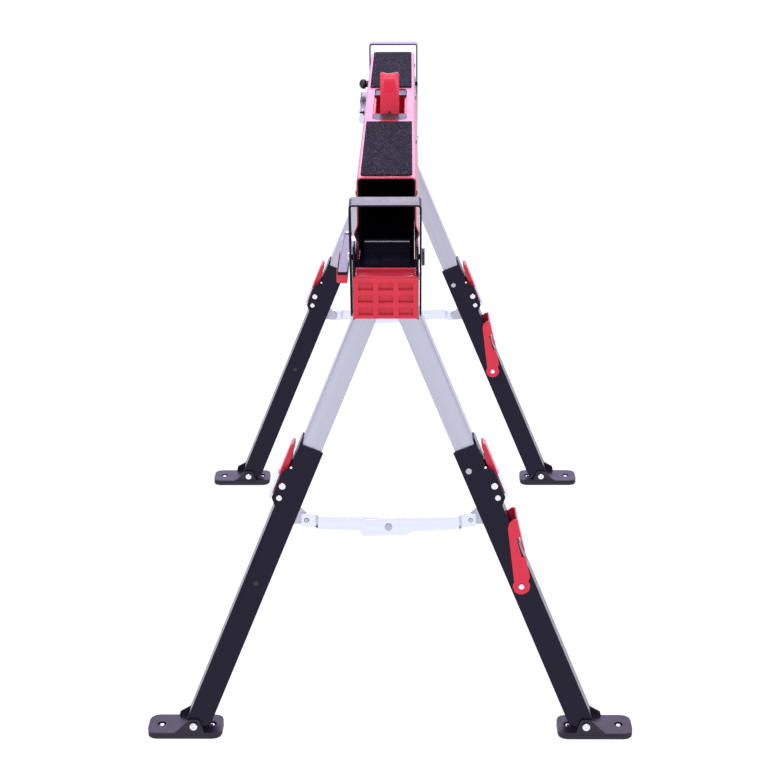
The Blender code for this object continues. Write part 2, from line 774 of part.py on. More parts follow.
def build_upper_leg(name, side, sign, body):
    outline = round_box(TUBE_HALF_WIDTH, TUBE_HALF_DEPTH, 0.0025)
    tube = prism(outline, "Z", -TUBE_LENGTH, TUBE_TOP)
    inside = prism(
        round_box(TUBE_HALF_WIDTH - TUBE_WALL, TUBE_HALF_DEPTH - TUBE_WALL, 0.0015, 1),
        "Z",
        -TUBE_LENGTH - 0.01,
        TUBE_TOP + 0.01,
    )
    bore = rod("Y", (0, 0), HIP_PIN + BORE_PLAY, -0.03, 0.03)
    across, down = SPREADER_PIVOT
    lug_outline = [(-TUBE_HALF_WIDTH + 0.001, -down + 0.014), (across, -down + 0.007)]
    lug_outline += arc((across, -down), 0.007, 90, 270, 4)[1:]
    lug_outline += [(-TUBE_HALF_WIDTH + 0.001, -down - 0.014)]
    lug = prism(lug_outline, "Y", LUG_LOW, LUG_HIGH)
    pin = rod("Y", (across, -down), SPREADER_PIN, LUG_LOW + 0.001, LUG_HIGH + 0.0035, 10)
    leg = combine(combine(tube, cut=[inside, bore]), add=[lug, pin])
    node("upper_leg_" + name, mirrored(leg, side, sign), "aluminium", body)


def build_lower_leg(name, side, sign, body):
    """Channel open on its inner side, with latch ears at its head and pin holes at its foot."""
    half = CHANNEL_HALF_WIDTH
    outer = CHANNEL_HALF_DEPTH
    inner = outer - CHANNEL_SHEET
    foot = -LEG_LENGTH
    outline = [
        (-half, -CHANNEL_TOP),
        (half, -CHANNEL_TOP),
        (half, -EAR_TOP),
        (EAR_REACH, -EAR_TOP - EAR_CHAMFER),
        (EAR_REACH, -EAR_BOTTOM),
        (half, -EAR_BOTTOM - EAR_CHAMFER),
        (half, foot - 0.005),
        (FOOT_PIVOT_ACROSS - 0.004, foot - 0.005),
        (-half, foot + 0.010),
    ]
    front = prism(outline, "Y", inner, outer)
    back = prism(outline, "Y", -outer, -inner)
    back_wall = prism(
        [
            (-outer + 0.001, -CHANNEL_TOP),
            (-0.012, -CHANNEL_TONGUE),
            (0.012, -CHANNEL_TONGUE),
            (outer - 0.001, -CHANNEL_TOP),
            (outer - 0.001, foot + 0.010),
            (-outer + 0.001, foot + 0.010),
        ],
        "X",
        half - CHANNEL_SHEET,
        half,
    )
    across, down = LATCH_PIVOT
    latch_pin = rod("Y", (across, -down), LATCH_PIN, -outer + 0.001, outer - 0.001, 10)
    bore = rod("Y", (FOOT_PIVOT_ACROSS, foot), FOOT_PIN + BORE_PLAY, -0.03, 0.03)
    studs = []
    if side > 0:
        across, down = HOOK_PIVOT
        for y in (-1, 1):
            low, high = sorted((y * (outer - 0.001), y * (HOOK_HALF_DEPTH + 0.0004)))
            studs.append(rod("Y", (across, -down), HOOK_PIN, low, high, 10))
    leg = combine(front, add=[back, back_wall, latch_pin, *studs], cut=[bore])
    node("lower_leg_" + name, mirrored(leg, side, sign), "black_steel", body)


def build_latch(name, side, sign, leg):
    """Flip lever between the ears, with the plated keeper strip on its outer face."""
    across, down = LATCH_PIVOT
    body = frame("latch_" + name, leg, Matrix.Translation((side * across, 0, -down)))
    face = LATCH_OUTER - across
    seat = KEEPER_SEAT - across
    step = down - KEEPER_TOP + GAP
    tip = down - LATCH_TIP
    outline = arc((0, 0), LATCH_HUB, 190, 380, 7)
    outline += [
        (seat, 0.006),
        (seat, step),
        (face, step),
        (face, tip - 0.006),
        (face - 0.0010, tip - 0.0015),
        (face - 0.0030, tip),
        (face - 0.0054, tip - 0.0012),
        (face - 0.0066, tip - 0.005),
        (face - 0.0068, tip - 0.015),
        (face - 0.0085, tip - 0.018),
        (face - 0.0085, tip - 0.036),
        (-0.0030, 0.010),
    ]
    lever = prism(outline, "Y", -LATCH_HALF_DEPTH, LATCH_HALF_DEPTH)
    bore = rod("Y", (0, 0), LATCH_PIN + BORE_PLAY, -0.02, 0.02, 10)
    node(
        "latch_lever_" + name,
        mirrored(combine(lever, cut=[bore]), side, sign),
        "red_plastic",
        body,
    )
    keeper_low = down - KEEPER_BOTTOM
    keeper = prism(
        [
            (seat + GAP, down - KEEPER_TOP),
            (seat + GAP, keeper_low + 0.003),
            (seat + 0.001, keeper_low),
            (KEEPER_OUTER - across - 0.001, keeper_low),
            (KEEPER_OUTER - across, keeper_low + 0.002),
            (KEEPER_OUTER - across, down - KEEPER_TOP),
        ],
        "Y",
        -LATCH_HALF_DEPTH + 0.0005,
        LATCH_HALF_DEPTH - 0.0005,
    )
    node("latch_keeper_" + name, mirrored(keeper, side, sign), "silver_steel", body)


def build_foot(name, side, sign, leg):
    """Pressed foot plate with two ears and the foot pin, and the pad under it.

    The plate lies level at rest, so its frame undoes the leg's spread and lean.  The tall ear is on
    the rear side of every foot.
    """
    pivot = Matrix.Translation((side * FOOT_PIVOT_ACROSS, 0, -LEG_LENGTH))
    level = Matrix.Rotation(side * LEG_SPREAD, 4, "Y") @ Matrix.Rotation(-sign * LEAN, 4, "X")
    body = frame("foot_" + name, leg, pivot @ level)
    pad_top = FOOT_PAD - FOOT_PIVOT_HEIGHT
    plate_low = pad_top + GAP
    plate_top = plate_low + FOOT_PLATE
    middle = (FOOT_OUT - FOOT_IN) / 2
    half = (FOOT_OUT + FOOT_IN) / 2
    outline = round_box(half, FOOT_HALF_DEPTH, FOOT_CORNER, 3, (middle, 0.0))
    plate = prism(outline, "Z", plate_low, plate_top)
    base = plate_low + 0.001
    low_ear = [
        (-FOOT_SADDLE_IN, base),
        (FOOT_SADDLE_OUT, base),
        (0.0085, 0.0080),
        (0.0040, 0.0095),
        (-0.0055, 0.0095),
        (-0.0080, 0.0075),
    ]
    tall_ear = [
        (-FOOT_SADDLE_IN, base),
        (FOOT_SADDLE_OUT, base),
        (0.0245, -0.0020),
        (0.0070, 0.0080),
        (0.0020, 0.0095),
        (-0.0060, 0.0095),
        (-0.0120, 0.0020),
    ]
    ear_outer = FOOT_EAR_INNER + FOOT_EAR_SHEET
    # ears stand parallel to the leg's plane, so they lean by LEAN about X
    lean = Matrix.Rotation(sign * LEAN, 4, "X")
    rear = prism(tall_ear, "Y", FOOT_EAR_INNER, ear_outer)
    front = prism(low_ear, "Y", -ear_outer, -FOOT_EAR_INNER)
    pin = rod("Y", (0, 0), FOOT_PIN, -ear_outer - 0.002, ear_outer + 0.002)
    for piece in (rear, front, pin):
        piece.data.transform(lean)
    saddle = block(
        (-FOOT_SADDLE_IN, -FOOT_EAR_INNER - 0.001, base),
        (FOOT_SADDLE_OUT, FOOT_EAR_INNER + 0.001, plate_top + FOOT_SADDLE_RISE),
    )
    holes = [
        rod("Z", (x, 0), FOOT_HOLE, -0.05, 0.0, 14) for x in (FOOT_HOLE_OUT, -FOOT_HOLE_IN)
    ]
    foot = combine(plate, add=[saddle, rear, front, pin], cut=holes)
    node("foot_plate_" + name, mirrored(foot, side), "black_steel", body)

    pad = prism(outline, "Z", -FOOT_PIVOT_HEIGHT, pad_top)
    node("foot_pad_" + name, mirrored(pad, side), "rubber", body)


def build_spreader(name, side, sign, leg):
    """One spreader bar, from its lug pin to the middle; the right bar carries the centre plate."""
    across, down = SPREADER_PIVOT
    turn = Matrix.Rotation(side * LEG_SPREAD, 4, "Y") @ Matrix.Rotation(
        -side * SPREADER_SAG, 4, "Y"
    )
    place = Matrix.Translation((side * across, 0, -down)) @ turn
    body = frame("spreader_" + name, leg, place)
    reach = (
        HIP_X + down * math.sin(LEG_SPREAD) + across * math.cos(LEG_SPREAD)
    ) / math.cos(SPREADER_SAG)
    near = LUG_HIGH + GAP
    far = SPREADER_PLANES[side]
    # the bar's edge seen from above, running from the pin (X = 0) towards the middle (-X)
    edge = [
        (0.007, near),
        (0.007, near + SPREADER_SHEET),
        (-JOGGLE_START, near + SPREADER_SHEET),
        (-JOGGLE_END, far + SPREADER_SHEET),
        (-reach - 0.008, far + SPREADER_SHEET),
        (-reach - 0.008, far),
        (-JOGGLE_END - 0.001, far),
        (-JOGGLE_START - 0.001, near),
    ]
    bar = prism(edge, "Z", -SPREADER_HALF_HEIGHT, SPREADER_HALF_HEIGHT)
    add = []
    if side > 0:
        plate_outline = [
            (-reach - CENTRE_PLATE_FAR + 0.003, CENTRE_PLATE_TOP),
            (-reach - CENTRE_PLATE_FAR, -CENTRE_PLATE_BOTTOM + 0.004),
            (-reach - CENTRE_PLATE_FAR + 0.003, -CENTRE_PLATE_BOTTOM),
            (-reach + CENTRE_PLATE_NEAR - 0.003, -CENTRE_PLATE_BOTTOM),
            (-reach + CENTRE_PLATE_NEAR, -CENTRE_PLATE_BOTTOM + 0.004),
            (-reach + CENTRE_PLATE_NEAR - 0.003, CENTRE_PLATE_TOP),
        ]
        add.append(prism(plate_outline, "Y", far, far + SPREADER_SHEET + 0.0004))
    bore = rod("Y", (0, 0), SPREADER_PIN + BORE_PLAY, near - 0.01, near + 0.01, 10)
    node(
        "spreader_bar_" + name,
        mirrored(combine(bar, add=add, cut=[bore]), side, sign),
        "silver_steel",
        body,
    )


def build_hook(end, sign, leg):
    """Cable hook: a U-shaped channel that straddles the outer side of the right lower leg."""
    across, down = HOOK_PIVOT
    body = frame("hook_" + end, leg, Matrix.Translation((across, 0, -down)))
    # side outline, from the round end at the pivot up to the head; X is outward, Z is up the leg
    outline = arc((0, 0), HOOK_END, 125, 378, 10)
    outline += [
        (0.0160, 0.009),
        (0.0303, 0.094),
        (0.0250, 0.0955),
        (0.0185, 0.0935),
        (0.0138, 0.087),
    ]
    slot = [(0.0160, 0.040), (0.0210, 0.040), (0.0245, 0.069), (0.0195, 0.069)]
    inner = HOOK_HALF_DEPTH - HOOK_SHEET
    cheeks = []
    for low, high in ((inner, HOOK_HALF_DEPTH), (-HOOK_HALF_DEPTH, -inner)):
        cuts = [
            prism(slot, "Y", -0.03, 0.03),
            rod("Y", (0, 0), HOOK_PIN + BORE_PLAY, -0.03, 0.03, 10),
        ]
        cheeks.append(combine(prism(outline, "Y", low, high), cut=cuts))
    web_outline = [(0.0228, 0.0490), (0.0208, 0.0490), (0.0283, 0.0940), (0.0303, 0.0940)]
    web = prism(web_outline, "Y", -inner - 0.001, inner + 0.001)
    hook = combine(cheeks[0], add=[cheeks[1], web])
    node("cable_hook_" + end, mirrored(hook, end=sign), "red_plastic", body)


def build_end(end, sign):
    build_bracket(end, sign)
    build_bumper(end, sign)
    build_carrier_bolt(end, sign)
    build_bail(end, sign)
    build_arm(end, sign)
    carrier = build_carrier(end, sign)
    for side_name, side in SIDES.items():
        name = end + "_" + side_name
        hip = leg_frame("hip_" + name, carrier, side)
        build_upper_leg(name, side, sign, hip)
        slide = frame("slide_" + name, hip)
        build_lower_leg(name, side, sign, slide)
        build_latch(name, side, sign, slide)
        build_foot(name, side, sign, slide)
        build_spreader(name, side, sign, hip)
        if side > 0:
            build_hook(end, sign, slide)


def main():
    for old in list(bpy.data.objects):
        bpy.data.objects.remove(old, do_unlink=True)
    build_beam()
    build_well()
    build_lever()
    for end, sign in ENDS.items():
        build_end(end, sign)
    build_bail_nuts()
    bpy.context.view_layer.update()


main()
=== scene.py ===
"""Looks of the folding sawhorse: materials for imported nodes, edge rounding, small fittings."""

import json
import math

import bmesh
import bpy
from mathutils import Matrix, Vector

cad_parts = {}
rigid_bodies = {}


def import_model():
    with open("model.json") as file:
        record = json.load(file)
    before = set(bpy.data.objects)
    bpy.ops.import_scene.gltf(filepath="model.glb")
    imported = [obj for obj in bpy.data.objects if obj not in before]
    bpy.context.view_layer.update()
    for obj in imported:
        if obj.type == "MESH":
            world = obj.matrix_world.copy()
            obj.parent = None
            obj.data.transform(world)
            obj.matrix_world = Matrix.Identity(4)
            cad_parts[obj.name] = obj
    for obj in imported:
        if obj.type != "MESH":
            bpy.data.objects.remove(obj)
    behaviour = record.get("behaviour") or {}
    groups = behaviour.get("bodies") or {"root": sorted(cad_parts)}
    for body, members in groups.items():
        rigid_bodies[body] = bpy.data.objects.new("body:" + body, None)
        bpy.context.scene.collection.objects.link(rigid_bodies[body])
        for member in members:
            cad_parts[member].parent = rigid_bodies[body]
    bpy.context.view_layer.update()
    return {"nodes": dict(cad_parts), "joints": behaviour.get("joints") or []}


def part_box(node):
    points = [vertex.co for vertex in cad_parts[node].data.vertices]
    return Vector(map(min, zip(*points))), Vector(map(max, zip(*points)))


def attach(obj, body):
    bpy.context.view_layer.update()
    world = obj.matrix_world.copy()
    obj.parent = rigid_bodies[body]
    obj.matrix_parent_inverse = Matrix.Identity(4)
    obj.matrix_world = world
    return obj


for old in list(bpy.data.objects):
    bpy.data.objects.remove(old, do_unlink=True)

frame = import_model()
NODES = frame["nodes"]
JOINTS = {joint["name"]: joint for joint in frame["joints"]}
ENDS = {"front": -1, "rear": 1}
SIDES = {"left": -1, "right": 1}

BRACKET_WALL = 0.4222  # outer face of the end bracket's inner wall, along the beam
BRACKET_HIGHLIGHT = 0.7180  # height of the painted highlight line on that wall
BRACKET_HIGHLIGHT_HALF = 0.0290  # half its length, across the beam
LEG_DEPTH = 0.0205  # half depth of the lower leg, along the beam
LATCH_HEADS = (  # across and down the leg, radius, rise
    (0.0173, 0.2870, 0.0048, 0.0020),
    (0.0153, 0.3045, 0.0041, 0.0018),
    (0.0158, 0.2575, 0.0018, 0.0008),
)
STEP_HEAD = (-0.0070, 0.2540, 0.0042, 0.0012)
LEG_SCREW = (0.0, 0.4340, 0.0036, 0.0009)
HOOK_HEAD = (-0.0020, 0.4370, 0.0041, 0.0018)
HOOK_CHEEK = 0.0241  # outer face of the hook's cheeks, along the beam
ROLLER_PLACE = (0.0176, 0.0, -0.2515)
FOOT_EAR = 0.0258  # outer face of the foot's ears, from its pivot
FOOT_RIVET_REACH = (0.0485, -0.0235)  # outward and inward of the foot's pivot
SPREADER_SAG = math.radians(2.5)  # each spreader bar dips this much towards the middle
LEVER_SWELL = (  # below the lever's top edge, out from its face
    (0.0300, -0.0002),
    (0.0220, 0.0010),
    (0.0150, 0.0024),
    (0.0110, 0.0031),
    (0.0080, 0.0033),
    (0.0055, 0.0030),
    (0.0035, 0.0022),
    (0.0020, 0.0012),
    (0.0010, 0.0002),
)
LEVER_NOTCH_SHADE = ((-0.0026, 0.0), (0.0026, 0.0), (0.0, 0.0036))  # corners of the painted shade triangle at the notch: across, above the well plate
POCKET_STEP = (0.0243, 0.0158)  # between the bumper's pockets, across and up
POCKET_HALF = 0.0080
BEAM_RIVET_Y = (0.446, 0.160)
BEAM_RIVET_Z = 0.7880
BEAM_WALL = 0.0375


# ---------------------------------------------------------------- node graphs
class Graph:
    """A material's node tree with short calls for the nodes used here."""

    def __init__(self, name):
        self.material = bpy.data.materials.new(name)
        self.material.use_nodes = True
        self.tree = self.material.node_tree
        self.shader = self.tree.nodes["Principled BSDF"]
        self.place = self.tree.nodes.new("ShaderNodeTexCoord").outputs["Object"]

    def add(self, kind, inputs=(), **settings):
        made = self.tree.nodes.new("ShaderNode" + kind)
        for key, value in settings.items():
            setattr(made, key, value)
        for key, value in dict(inputs).items():
            if isinstance(value, bpy.types.NodeSocket):
                self.tree.links.new(value, made.inputs[key])
            else:
                made.inputs[key].default_value = value
        return made

    def stretched(self, scale, turn=(0.0, 0.0, 0.0)):
        """Object coordinates, turned and scaled per axis."""
        turned = self.add("Mapping", {"Vector": self.place, "Rotation": turn})
        return self.add("Mapping", {"Vector": turned.outputs[0], "Scale": scale}).outputs[0]

    def noise(self, scale, detail=3.0, rough=0.55, vector=None, distortion=0.0):
        made = self.add(
            "TexNoise",
            {
                "Vector": vector or self.place,
                "Scale": scale,
                "Detail": detail,
                "Roughness": rough,
                "Distortion": distortion,
            },
        )
        return made.outputs["Fac"]

    def ramp(self, value, stops, smooth=False):
        made = self.add("ValToRGB", {"Fac": value})
        band = made.color_ramp
        band.interpolation = "EASE" if smooth else "LINEAR"
        while len(band.elements) < len(stops):
            band.elements.new(0.5)
        for element, (where, colour) in zip(band.elements, stops):
            element.position = where
            grey = isinstance(colour, (int, float))
            element.color = (colour, colour, colour, 1.0) if grey else (*colour, 1.0)
        return made.outputs["Color"]

    def mix(self, factor, first, second):
        made = self.add("Mix", data_type="RGBA")
        for key, value in (("Factor", factor), ("A", first), ("B", second)):
            socket = next(s for s in made.inputs if s.name == key and s.enabled)
            if isinstance(value, bpy.types.NodeSocket):
                self.tree.links.new(value, socket)
            elif key == "Factor":
                socket.default_value = value
            else:
                socket.default_value = (*value, 1.0)
        return next(s for s in made.outputs if s.enabled)

    def math(self, operation, first, second=0.0):
        made = self.add("Math", operation=operation)
        for socket, value in zip(made.inputs, (first, second)):
            if isinstance(value, bpy.types.NodeSocket):
                self.tree.links.new(value, socket)
            else:
                socket.default_value = value
        return made.outputs[0]

    def bump(self, height, distance, strength=1.0, before=None):
        inputs = {"Height": height, "Distance": distance, "Strength": strength}
        if before is not None:
            inputs["Normal"] = before
        return self.add("Bump", inputs).outputs["Normal"]

    def drive(self, **sockets):
        """Links or sets the shader's sockets; underscores stand for spaces."""
        for key, value in sockets.items():
            socket = self.shader.inputs[key.replace("_", " ")]
            if isinstance(value, bpy.types.NodeSocket):
                self.tree.links.new(value, socket)
            elif isinstance(value, tuple):
                socket.default_value = (*value, 1.0)
            else:
                socket.default_value = value
        return self.material


def shade(colour, factor):
    return tuple(min(1.0, channel * factor) for channel in colour)


# ---------------------------------------------------------------- materials
def paint(g, colour, rough, orange_peel):
    """Sprayed and baked paint: orange-peel skin, faint hue drift, a few dull rubbed patches."""
    drift = g.noise(14.0, 2.0)
    tone = g.ramp(drift, [(0.3, shade(colour, 0.90)), (0.7, shade(colour, 1.06))])
    rubbed = g.noise(55.0, 6.0, 0.7, distortion=0.4)
    dull = g.ramp(rubbed, [(0.35, rough), (0.62, rough + 0.05), (0.78, rough + 0.14)])
    peel = g.noise(620.0, 2.0)
    grit = g.noise(2600.0, 2.0)
    normal = g.bump(peel, orange_peel, 0.55)
    normal = g.bump(grit, orange_peel * 0.35, 0.4, normal)
    return tone, dull, normal


def powder_coat(name, colour, rough, coat, orange_peel=0.00003):
    g = Graph(name)
    tone, dull, normal = paint(g, colour, rough, orange_peel)
    return g.drive(
        Base_Color=tone,
        Roughness=dull,
        Normal=normal,
        Coat_Weight=coat,
        Coat_Roughness=0.07,
        Specular_IOR_Level=0.5,
    )


def beam_coat(name, colour, rough, shine, orange_peel=0.000012):
    """The beam's paint, glossy outside; its inner faces get painted shade, dull and nearly black.
    """
    g = Graph(name)
    tone, dull, normal = paint(g, colour, rough, orange_peel)
    place = g.add("SeparateXYZ", {"Vector": g.place}).outputs
    facing = g.tree.nodes["Texture Coordinate"].outputs["Normal"]
    facing = g.add("SeparateXYZ", {"Vector": facing}).outputs
    inward = g.math("LESS_THAN", g.math("MULTIPLY", place[0], facing[0]), -0.002)
    downward = g.math("LESS_THAN", facing[2], -0.5)
    below_top = g.math("MULTIPLY", downward, g.math("GREATER_THAN", place[2], 0.75))
    # painted shade: faces that look into the channel, and downward faces under the top, turn dull
    # and nearly black
    painted_shade_inside = g.math("MAXIMUM", inward, below_top)
    return g.drive(
        Base_Color=g.mix(painted_shade_inside, tone, (0.010, 0.004, 0.006)),
        Roughness=g.math("MAXIMUM", dull, g.math("MULTIPLY", painted_shade_inside, 0.7)),
        Normal=normal,
        Specular_IOR_Level=shine,
    )


def moulded(name, colour, rough, grain=0.00004, coat=0.0):
    """Injection-moulded plastic: a fine spark-eroded grain and slow flow streaks."""
    g = Graph(name)
    flow = g.noise(38.0, 3.0, distortion=0.8)
    tone = g.ramp(flow, [(0.3, shade(colour, 0.93)), (0.75, shade(colour, 1.07))])
    gloss = g.ramp(g.noise(170.0, 4.0), [(0.3, rough - 0.04), (0.75, rough + 0.08)])
    cells = g.add("TexVoronoi", {"Vector": g.place, "Scale": 1900.0}).outputs["Distance"]
    normal = g.bump(cells, grain, 0.35)
    return g.drive(
        Base_Color=tone,
        Roughness=gloss,
        Normal=normal,
        Coat_Weight=coat,
        Coat_Roughness=0.12,
        Specular_IOR_Level=0.3,
    )


def black_coat(name, colour=(0.0055, 0.0040, 0.0150), rough=0.25, shine=0.19, top=None):
    """Semi-gloss black powder coat; with top given, faces that look up get a painted sheen, a metal
    of that tone.
    """
    g = Graph(name)
    dust = g.noise(30.0, 5.0, 0.65, distortion=0.3)
    tone = g.ramp(dust, [(0.35, shade(colour, 0.86)), (0.60, colour), (0.80, shade(colour, 1.30))])
    specks = g.ramp(g.noise(900.0, 2.0), [(0.70, 0.0), (0.78, 1.0)])
    tone = g.mix(g.math("MULTIPLY", specks, 0.04), tone, (0.20, 0.18, 0.22))
    gloss = g.ramp(g.noise(75.0, 5.0, 0.7), [(0.3, rough - 0.05), (0.7, rough + 0.10)])
    peel = g.noise(1300.0, 3.0, 0.6)
    painted_top_sheen = 0.0
    if top is not None:
        # painted sheen: faces that look up turn metallic in the top tone, standing in for light
        # from above
        facing = g.tree.nodes["Texture Coordinate"].outputs["Normal"]
        upward = g.add("SeparateXYZ", {"Vector": facing}).outputs[2]
        painted_top_sheen = g.ramp(upward, [(0.5, 0.0), (0.9, 1.0)])
        tone = g.mix(painted_top_sheen, tone, top)
    return g.drive(
        Base_Color=tone,
        Roughness=gloss,
        Normal=g.bump(peel, 0.00005, 0.5),
        Metallic=painted_top_sheen,
        Specular_IOR_Level=shine,
    )


def drawn_metal(name, colour, rough, along, streak=0.10, metallic=1.0):
    """Metal with drawing lines along one direction: bright and dull streaks and light scuffs."""
    turn = Vector(along).to_track_quat("Z", "Y").inverted().to_euler()
    g = Graph(name)
    lines = g.noise(1.0, 4.0, 0.7, g.stretched((900.0, 900.0, 3.0), turn))
    broad = g.noise(1.0, 2.0, 0.5, g.stretched((120.0, 120.0, 4.0), turn))
    tone = g.mix(
        g.math("MULTIPLY", lines, 0.55),
        g.ramp(broad, [(0.3, shade(colour, 0.93)), (0.7, shade(colour, 1.05))]),
        shade(colour, 0.86),
    )
    scuffs = g.noise(85.0, 6.0, 0.75, distortion=0.5)
    gloss = g.math(
        "ADD",
        g.ramp(lines, [(0.2, rough - streak * 0.5), (0.8, rough + streak)]),
        g.ramp(scuffs, [(0.62, 0.0), (0.80, 0.08)]),
    )
    return g.drive(
        Base_Color=tone,
        Metallic=metallic,
        Roughness=gloss,
        Normal=g.bump(lines, 0.00002, 0.5),
    )


def plated(name, colour, rough):
    """Zinc plating: small spangled tone changes and fine pitting."""
    g = Graph(name)
    cells = g.add("TexVoronoi", {"Vector": g.place, "Scale": 420.0}).outputs["Color"]
    grey = g.add("RGBToBW", {"Color": cells}).outputs[0]
    tone = g.ramp(grey, [(0.0, shade(colour, 0.90)), (1.0, shade(colour, 1.05))])
    cloud = g.noise(95.0, 5.0, 0.65)
    gloss = g.ramp(cloud, [(0.3, rough - 0.05), (0.75, rough + 0.10)])
    return g.drive(
        Base_Color=tone,
        Metallic=1.0,
        Roughness=gloss,
        Normal=g.bump(g.noise(1500.0, 2.0), 0.00002, 0.4),
    )


def grit_pad(name):
    """Mineral-coated grip tape: packed dark grains with a few glinting ones."""
    g = Graph(name)
    grains = g.add("TexVoronoi", {"Vector": g.place, "Scale": 900.0})
    grey = g.add("RGBToBW", {"Color": grains.outputs["Color"]}).outputs[0]
    patch = g.noise(70.0, 4.0, 0.6)
    dark = g.ramp(patch, [(0.3, (0.006, 0.005, 0.010)), (0.7, (0.012, 0.010, 0.018))])
    tone = g.mix(g.ramp(grey, [(0.50, 0.0), (0.80, 0.65)]), dark, (0.050, 0.046, 0.064))
    glint = g.ramp(grey, [(0.86, 0.0), (0.93, 1.0)])
    tone = g.mix(g.math("MULTIPLY", glint, 0.5), tone, (0.19, 0.17, 0.23))
    height = g.math("ADD", g.math("MULTIPLY", grains.outputs["Distance"], -0.9), patch)
    gloss = g.ramp(grey, [(0.5, 0.92), (0.95, 0.55)])
    return g.drive(
        Base_Color=tone,
        Roughness=gloss,
        Normal=g.bump(height, 0.0004, 0.9),
        Specular_IOR_Level=0.04,
    )


def rubber(name, colour=(0.016, 0.015, 0.020)):
    g = Graph(name)
    wear = g.noise(65.0, 6.0, 0.7)
    tone = g.ramp(wear, [(0.35, shade(colour, 0.8)), (0.75, shade(colour, 1.5))])
    return g.drive(
        Base_Color=tone,
        Roughness=g.ramp(wear, [(0.3, 0.62), (0.7, 0.82)]),
        Normal=g.bump(g.noise(2400.0, 3.0), 0.00006, 0.6),
        Specular_IOR_Level=0.4,
    )


RED = (0.50, 0.007, 0.036)
BEAM_RED = beam_coat("beam_red_coat", RED, 0.24, 0.80)
HOUSING_RED = powder_coat("housing_red_coat", (0.80, 0.012, 0.030), 0.40, 0.20)
LEVER_RED = powder_coat("lever_red_coat", (0.88, 0.036, 0.074), 0.30, 0.35)
PLASTIC_RED = moulded("moulded_red", (0.62, 0.014, 0.036), 0.34, coat=0.30)
HOOK_RED = moulded("hook_red", (0.66, 0.022, 0.050), 0.42, coat=0.10)
BLACK = black_coat("black_coat")
# the last colour of the bail's and the arm's coats is the tone of their painted top sheen
BAIL_BLACK = black_coat("bail_black_coat", (0.006, 0.005, 0.010), 0.20, 0.10, (0.037, 0.037, 0.041))
FOOT_BLACK = black_coat("foot_black_coat", (0.020, 0.017, 0.028), 0.30, 0.28)
PLATE_GREY = black_coat("plate_grey_coat", (0.036, 0.034, 0.040), 0.36, 0.20)
INNER_BLACK = black_coat("inner_black_coat", (0.0045, 0.0035, 0.0060), 0.62, 0.12)
ARM_BLACK = black_coat("arm_black_coat", (0.008, 0.007, 0.011), 0.18, 0.15, (0.060, 0.057, 0.062))
ZINC = plated("zinc_plate", (0.80, 0.82, 0.88), 0.20)
BRIGHT = plated("bright_rivet", (0.84, 0.85, 0.90), 0.14)
DULL = plated("dull_rivet", (0.50, 0.50, 0.55), 0.42)
GRIT = grit_pad("grit_pad")
# pale strip that paints the bracket wall's highlight line
PAINTED_HIGHLIGHT = moulded("painted_highlight_strip", (0.80, 0.80, 0.84), 0.40)
# SHADOW paints the notch's shade on the lock lever
SHADOW = moulded("painted_notch_shade", (0.060, 0.004, 0.008), 0.60)
PLASTIC_BLACK = moulded("moulded_black", (0.012, 0.012, 0.014), 0.22, coat=0.3)
SOLE = rubber("sole_rubber")


# ---------------------------------------------------------------- CAD nodes
def rounded(node, width, segments=2):
    """Softens a node's edges so that they catch the light; its own mesh stays as it is."""
    piece = NODES[node]
    weld = piece.modifiers.new("weld", "WELD")
    weld.merge_threshold = 0.00001
    bevel = piece.modifiers.new("edges", "BEVEL")
    bevel.width = width
    bevel.segments = segments
    bevel.limit_method = "ANGLE"
    bevel.angle_limit = math.radians(32)
    bevel.miter_outer = "MITER_ARC"
    bevel.use_clamp_overlap = True
    normals = piece.modifiers.new("normals", "WEIGHTED_NORMAL")
    normals.weight = 60
    normals.keep_sharp = False


def dress(node, material, width):
    piece = NODES[node]
    piece.data.materials.clear()
    piece.data.materials.append(material)
    if width:
        rounded(node, width)


def dress_nodes():
    finishes = (
        ("beam_channel", BEAM_RED, 0.0004),
        ("lever_housing", HOUSING_RED, 0.0004),
        ("lock_lever", LEVER_RED, 0.0009),
        ("grip_pad", GRIT, 0.0004),
        ("stiffener", INNER_BLACK, 0.0004),
        ("well_plate", PLATE_GREY, 0.0006),
        ("lever_pin", ZINC, 0.0004),
        ("end_bracket", BLACK, 0.0007),
        ("end_bumper", PLASTIC_RED, 0.0009),
        ("carrier_bolt", ZINC, 0.0005),
        ("bail_nut", ZINC, 0.0003),
        ("bail_", BAIL_BLACK, 0.0004),
        ("lock_knob", PLASTIC_BLACK, 0.0008),
        ("thumb_nut", PLASTIC_BLACK, 0.0005),
        ("arm_hinge", ZINC, 0.0004),
        ("support_arm", ARM_BLACK, 0.0006),
        ("arm_tip", PLASTIC_RED, 0.0012),
        ("leg_carrier", BLACK, 0.0004),
        ("lower_leg", BLACK, 0.0005),
        ("latch_lever", PLASTIC_RED, 0.0012),
        ("latch_keeper", ZINC, 0.0004),
        ("cable_hook", HOOK_RED, 0.0006),
        ("foot_plate", FOOT_BLACK, 0.0006),
        ("foot_pad", SOLE, 0.0008),
    )
    for node in NODES:
        for start, finish, width in finishes:
            if node.startswith(start):
                dress(node, finish, width)
                break
    for end in ENDS:
        for side in SIDES:
            name = end + "_" + side
            along = JOINTS["telescope_" + name]["axis"]
            tube = drawn_metal("drawn_aluminium_" + name, (0.515, 0.525, 0.580), 0.36, along)
            dress("upper_leg_" + name, tube, 0.0005)
        steel = drawn_metal("spreader_steel_" + end, (0.75, 0.80, 0.86), 0.28, (1, 0, 0), 0.06)
        for side in SIDES:
            dress("spreader_bar_" + end + "_" + side, steel, 0.0005)


